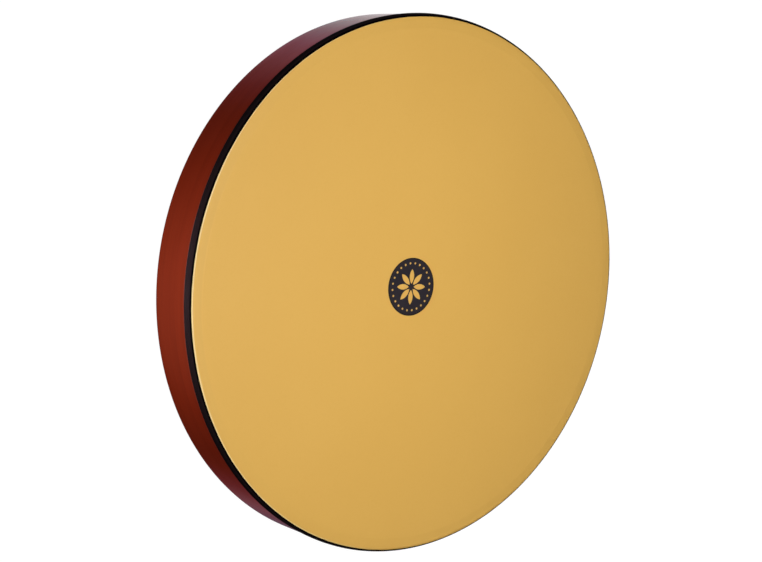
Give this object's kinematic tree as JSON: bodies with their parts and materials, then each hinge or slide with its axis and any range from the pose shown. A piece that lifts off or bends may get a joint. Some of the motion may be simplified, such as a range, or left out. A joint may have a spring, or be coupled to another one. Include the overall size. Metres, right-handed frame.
{
  "type": "frame drum",
  "caption": "Shallow round frame drum: a laminated hoop with a taped head over its front edge, tuned by socket screws that lift an inner ring under the head.",
  "frame": {"origin": "centre of the open rear rim, in the plane the drum rests on", "axes": "+Z along the drum's axis, out of the playing face; +X and +Y lie in the plane of the rear rim, and the printed disc is set a little towards -X"},
  "size_m": [0.5602, 0.5602, 0.0636],
  "materials": {
    "lacquered_ply": "gloss red-brown lacquer over a thin wood ply",
    "core_wood": "stained and lacquered edge over laminated core",
    "head_film": "matte synthetic film, golden yellow",
    "woven_tape": "black woven cloth tape",
    "printed_badge": "matte black print",
    "ring_aluminium": "brushed",
    "cup_steel": "turned steel",
    "zinc_steel": "bright zinc plate",
    "screw_steel": "black oxide"
  },
  "bodies": {
    "shell": {"shell_outer_ply": "lacquered_ply", "shell_core": "core_wood", "shell_inner_ply": "lacquered_ply", "head_collar": "head_film", "rim_tape": "woven_tape", "tuning_bracket_1": "zinc_steel", "tuning_bracket_2": "zinc_steel", "tuning_bracket_3": "zinc_steel", "tuning_bracket_4": "zinc_steel", "tuning_bracket_5": "zinc_steel", "tuning_bracket_6": "zinc_steel", "tuning_bracket_7": "zinc_steel", "tuning_bracket_8": "zinc_steel", "weld_nuts": "zinc_steel", "bracket_screws": "screw_steel"},
    "ring": {"tuning_ring": "ring_aluminium", "screw_cups": "cup_steel", "head_membrane": "head_film", "centre_badge": "printed_badge"},
    "screw_1": {"tuning_screw_1": "screw_steel"},
    "screw_2": {"tuning_screw_2": "screw_steel"},
    "screw_3": {"tuning_screw_3": "screw_steel"},
    "screw_4": {"tuning_screw_4": "screw_steel"},
    "screw_5": {"tuning_screw_5": "screw_steel"},
    "screw_6": {"tuning_screw_6": "screw_steel"},
    "screw_7": {"tuning_screw_7": "screw_steel"},
    "screw_8": {"tuning_screw_8": "screw_steel"}
  },
  "joints": [
    {"name": "ring_slide", "type": "slide", "parent": "shell", "child": "ring", "axis": [0, 0, 1], "range_m": [-0.001, 0.003], "deforming": ["head_collar"]},
    {"name": "screw_turn_1", "type": "hinge", "parent": "ring", "child": "screw_1", "pos_m": [0.23744, 0.09835, 0.0132], "axis": [0, 0, 1], "range_deg": [-365, 1085]},
    {"name": "screw_turn_2", "type": "hinge", "parent": "ring", "child": "screw_2", "pos_m": [0.09835, 0.23744, 0.0132], "axis": [0, 0, 1], "range_deg": [-365, 1085]},
    {"name": "screw_turn_3", "type": "hinge", "parent": "ring", "child": "screw_3", "pos_m": [-0.09835, 0.23744, 0.0132], "axis": [0, 0, 1], "range_deg": [-365, 1085]},
    {"name": "screw_turn_4", "type": "hinge", "parent": "ring", "child": "screw_4", "pos_m": [-0.23744, 0.09835, 0.0132], "axis": [0, 0, 1], "range_deg": [-365, 1085]},
    {"name": "screw_turn_5", "type": "hinge", "parent": "ring", "child": "screw_5", "pos_m": [-0.23744, -0.09835, 0.0132], "axis": [0, 0, 1], "range_deg": [-365, 1085]},
    {"name": "screw_turn_6", "type": "hinge", "parent": "ring", "child": "screw_6", "pos_m": [-0.09835, -0.23744, 0.0132], "axis": [0, 0, 1], "range_deg": [-365, 1085]},
    {"name": "screw_turn_7", "type": "hinge", "parent": "ring", "child": "screw_7", "pos_m": [0.09835, -0.23744, 0.0132], "axis": [0, 0, 1], "range_deg": [-365, 1085]},
    {"name": "screw_turn_8", "type": "hinge", "parent": "ring", "child": "screw_8", "pos_m": [0.23744, -0.09835, 0.0132], "axis": [0, 0, 1], "range_deg": [-365, 1085]}
  ],
  "couplings": [
    {"joint": "screw_turn_1", "follows": "ring_slide", "rad_per_m": 6283.2},
    {"joint": "screw_turn_2", "follows": "ring_slide", "rad_per_m": 6283.2},
    {"joint": "screw_turn_3", "follows": "ring_slide", "rad_per_m": 6283.2},
    {"joint": "screw_turn_4", "follows": "ring_slide", "rad_per_m": 6283.2},
    {"joint": "screw_turn_5", "follows": "ring_slide", "rad_per_m": 6283.2},
    {"joint": "screw_turn_6", "follows": "ring_slide", "rad_per_m": 6283.2},
    {"joint": "screw_turn_7", "follows": "ring_slide", "rad_per_m": 6283.2},
    {"joint": "screw_turn_8", "follows": "ring_slide", "rad_per_m": 6283.2}
  ]
}
